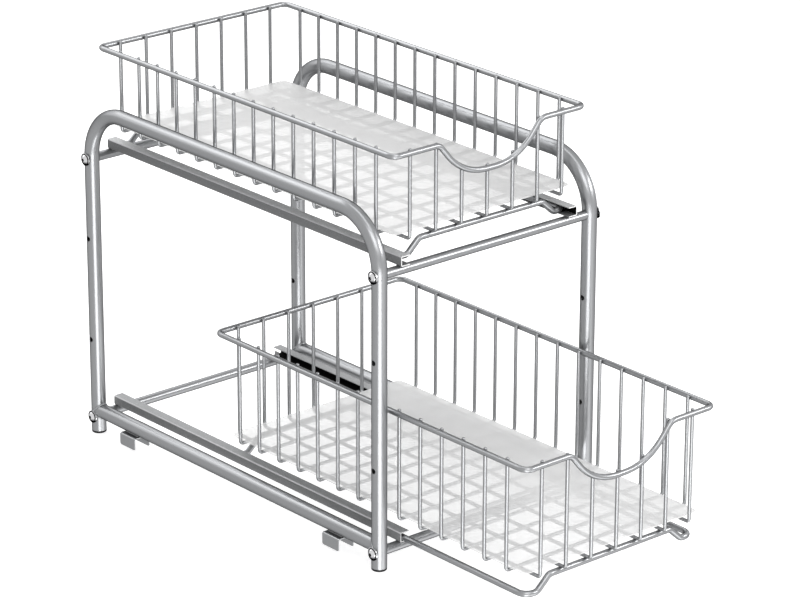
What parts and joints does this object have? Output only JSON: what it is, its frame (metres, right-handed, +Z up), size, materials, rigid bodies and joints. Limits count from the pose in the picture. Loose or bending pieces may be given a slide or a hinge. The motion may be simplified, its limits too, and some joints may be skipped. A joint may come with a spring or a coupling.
{
  "type": "pull-out cabinet basket",
  "caption": "Free-standing tube frame for a kitchen cabinet whose scooped wire baskets slide out to the front on channel rails.",
  "frame": {"origin": "bottom centre of the whole object with its baskets as stored: on the floor, on the middle plane between the left and right legs", "axes": "+Z up, -Y the front that the baskets pull out to, +X to the right seen from the front"},
  "size_m": [0.2856, 0.6378, 0.4086],
  "materials": {
    "frame_paint": "silver powder coat, fine grained",
    "rail_paint": "silver powder coat on sheet steel",
    "bolt_zinc": "bright zinc",
    "cap_plastic": "matt black moulded plastic",
    "liner_plastic": "translucent frosted sheet"
  },
  "bodies": {
    "frame": {"left_side_tube": "frame_paint", "right_side_tube": "frame_paint", "left_bottom_rail": "frame_paint", "right_bottom_rail": "frame_paint", "front_left_foot_cap": "cap_plastic", "front_right_foot_cap": "cap_plastic", "rear_left_foot_cap": "cap_plastic", "rear_right_foot_cap": "cap_plastic", "upper_front_crossbar": "frame_paint", "upper_rear_crossbar": "frame_paint", "lower_front_crossbar": "frame_paint", "lower_rear_crossbar": "frame_paint", "left_crossbar_bolts": "bolt_zinc", "right_crossbar_bolts": "bolt_zinc", "upper_left_rail": "rail_paint", "upper_right_rail": "rail_paint", "lower_left_rail": "rail_paint", "lower_right_rail": "rail_paint", "front_left_stacking_clip": "rail_paint", "front_right_stacking_clip": "rail_paint", "rear_left_stacking_clip": "rail_paint", "rear_right_stacking_clip": "rail_paint"},
    "upper_basket": {"upper_basket_rim": "frame_paint", "upper_basket_cross_wires": "frame_paint", "upper_basket_long_wires": "frame_paint", "upper_basket_runner": "frame_paint", "upper_basket_liner": "liner_plastic"},
    "lower_basket": {"lower_basket_rim": "frame_paint", "lower_basket_cross_wires": "frame_paint", "lower_basket_long_wires": "frame_paint", "lower_basket_runner": "frame_paint", "lower_basket_liner": "liner_plastic"}
  },
  "joints": [
    {"name": "upper_basket_slide", "type": "slide", "parent": "frame", "child": "upper_basket", "axis": [0, -1, 0], "range_m": [-0.001, 0.249]},
    {"name": "lower_basket_slide", "type": "slide", "parent": "frame", "child": "lower_basket", "axis": [0, -1, 0], "range_m": [-0.1835, 0.0665]}
  ]
}
